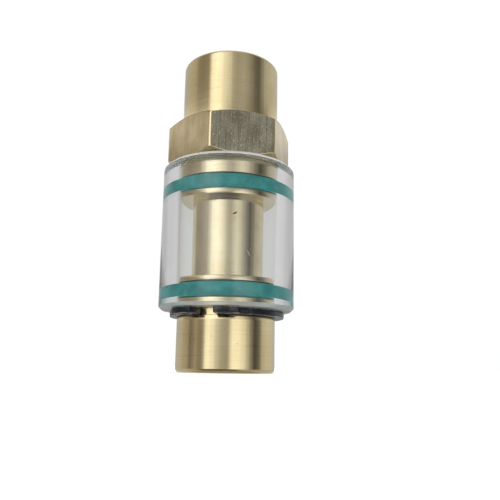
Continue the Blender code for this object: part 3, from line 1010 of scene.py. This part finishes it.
# Brightness of the studio's walls as (degrees from the front, brightness), positive towards +X.
# Each wall is a band of directions around the object, at a height that one part of it reflects.
FOOT_LIGHTS = [(-180, 0.46), (-150, 0.5), (-125, 0.5), (-108, 0.44), (-96, 0.38), (-87, 0.2), (-80, 0.26),
               (-71, 0.38), (-63, 0.28), (-56, 0.25), (-50, 0.42), (-45, 1.1), (-39, 1.2), (-29, 1.02),
               (-18, 0.62), (-8, 0.44), (1, 0.38), (7, 0.42), (12, 0.85), (17, 1.2), (30, 1.2), (43, 0.95),
               (53, 0.56), (62, 0.25), (71, 0.08), (80, 0.12), (88, 0.3), (97, 0.56), (112, 0.66),
               (130, 0.64), (150, 0.54), (180, 0.46)]
WAIST_LIGHTS = [(-180, 0.42), (-150, 0.6), (-125, 0.62), (-106, 0.32), (-90, 0.28), (-76, 0.34), (-64, 0.42),
                (-54, 0.78), (-46, 1.3), (-32, 1.45), (-20, 1.25), (-11, 0.95), (0, 0.58), (9, 0.5),
                (18, 0.7), (28, 0.88), (38, 0.72), (49, 0.42), (60, 0.2), (70, 0.07), (80, 0.19),
                (90, 0.4), (99, 0.52), (120, 0.66), (140, 0.62), (158, 0.5), (180, 0.42)]
HEXAGON_LIGHTS = [(-180, 0.6), (-150, 0.75), (-120, 0.82), (-80, 0.82), (-55, 1.0), (-40, 1.5), (-26, 1.6),
                  (-16, 0.9), (-8, 0.38), (5, 0.28), (50, 0.28), (75, 0.16), (95, 0.25), (112, 0.65),
                  (130, 0.8), (165, 0.8), (180, 0.6)]
TOP_LIGHTS = [(-180, 0.5), (-150, 0.5), (-125, 0.5), (-106, 0.49), (-96, 0.44), (-84, 0.28), (-72, 0.25),
              (-63, 0.28), (-56, 0.3), (-52, 0.62), (-48, 1.15), (-36, 1.4), (-25, 1.25), (-15, 0.95),
              (-1, 0.74), (5, 0.48), (14, 0.4), (22, 0.41), (31, 0.43), (42, 0.36), (52, 0.26), (62, 0.15),
              (72, 0.12), (82, 0.27), (92, 0.44), (105, 0.5), (125, 0.55), (150, 0.55), (180, 0.5)]
GROUND_LIGHTS = [(-180, 0.58), (-115, 0.5), (-75, 0.4), (-52, 0.14), (-20, 0.08), (24, 0.12),
                 (45, 0.38), (82, 0.4), (115, 0.5), (180, 0.58)]
# How far up a direction points, from -1 to 1, where each wall gives way to the next one above
UPPER_WALLS = ((0.09, 0.13, WAIST_LIGHTS), (0.35, 0.362, HEXAGON_LIGHTS), (0.4, 0.42, TOP_LIGHTS))
CEILING_EDGE = (0.75, 0.95)
GROUND_EDGE = (-0.05, -0.18)      # and where the ground begins, and the darker ground underfoot
UNDERFOOT_EDGE = (-0.6, -0.85)
BROWN_SCREEN = (-112, -50)        # a brown screen stands between these angles
BROWN_BELOW = 0.7                 # brightness of the light in front of it
WARMTH = 0.09                     # how much less green, and twice as much less blue, it is
CEILING = (0.6, 0.59, 0.56, 1)
UNDERFOOT = (0.3, 0.27, 0.22, 1)
THROUGH_GLASS = (0.66, 0.66, 0.65, 1)     # what the glass bends into view
ROOM = (1.3, 1.3, 1.3, 1)                 # what lights matt surfaces
BACKDROP = (1.02, 1.02, 1.02, 1)          # what the camera sees beyond the floor


def wall(nodes, turn, lights):
    """The colour of a wall in every direction around the object, from its list of lights."""
    ramp = nodes.add("ShaderNodeValToRGB", {"Fac": turn})
    ramp.color_ramp.interpolation = "EASE"
    stops = ramp.color_ramp.elements
    stops.remove(stops[-1])
    for i, (angle, level) in enumerate(lights):
        stop = stops[0] if i == 0 else stops.new((angle + 180) / 360)
        brown = BROWN_SCREEN[0] < angle < BROWN_SCREEN[1] and level < BROWN_BELOW
        tint = WARMTH if brown else 0.0
        stop.color = (level, level * (1 - tint), level * (1 - 2 * tint), 1)
    return ramp.outputs["Color"]


def make_studio():
    """A white room. Metal and glass see its lights and dark screens, which stand all around."""
    world = bpy.data.worlds.new("studio")
    bpy.context.scene.world = world
    world.use_nodes = True
    world.cycles.sampling_method = "NONE"
    nodes = Nodes(world.node_tree)
    direction = nodes.add("ShaderNodeTexCoord", {}).outputs["Generated"]
    axes = nodes.add("ShaderNodeSeparateXYZ", {0: direction}).outputs
    rise = axes["Z"]
    around = nodes.math("ARCTAN2", axes["X"], nodes.math("MULTIPLY", axes["Y"], -1.0))
    turn = nodes.math("ADD", nodes.math("DIVIDE", around, math.tau), 0.5)
    seen = wall(nodes, turn, FOOT_LIGHTS)
    for start, end, lights in UPPER_WALLS:
        seen = nodes.mix(nodes.span(rise, start, end), seen, wall(nodes, turn, lights))
    seen = nodes.mix(nodes.span(rise, *CEILING_EDGE), seen, CEILING)
    seen = nodes.mix(nodes.span(rise, *GROUND_EDGE), seen, wall(nodes, turn, GROUND_LIGHTS))
    seen = nodes.mix(nodes.span(rise, *UNDERFOOT_EDGE), seen, UNDERFOOT)
    path = nodes.add("ShaderNodeLightPath", {}).outputs
    mirrored = nodes.math("GREATER_THAN", path["Glossy Depth"], 0.5)
    seen = nodes.mix(mirrored, THROUGH_GLASS, seen)
    scattered = nodes.math("GREATER_THAN", path["Diffuse Depth"], 0.5)
    seen = nodes.mix(scattered, seen, ROOM)
    seen = nodes.mix(path["Is Camera Ray"], seen, BACKDROP)
    nodes.fill(world.node_tree.nodes["Background"], {"Color": seen})


def make_camera():
    """Near the object's foot and close to it, looking up, with the photograph's slight tilts."""
    lens, sensor = 42.27, 36.0    # in millimetres
    back, aside, above = 1.8468 * HEIGHT, 0.0336 * HEIGHT, 0.0197 * HEIGHT
    pitch, yaw, roll = math.radians(11.26), math.radians(1.19), math.radians(0.90)
    forward = Vector((math.sin(yaw) * math.cos(pitch), math.cos(yaw) * math.cos(pitch), math.sin(pitch)))
    level = Vector((math.cos(yaw), -math.sin(yaw), 0))
    upward = level.cross(forward)
    right = math.cos(roll) * level + math.sin(roll) * upward
    up = math.cos(roll) * upward - math.sin(roll) * level
    data = bpy.data.cameras.new("camera")
    data.lens = lens
    data.sensor_width = sensor
    data.clip_start = 0.001
    camera = new_object("camera", data)
    turn = Matrix((right, up, -forward)).transposed().to_4x4()
    camera.matrix_world = Matrix.Translation((aside, -back, CAD_LOW.z + above)) @ turn
    bpy.context.scene.camera = camera


place_pieces()
make_floor()
make_studio()
make_camera()
bpy.context.scene.view_settings.view_transform = "Standard"
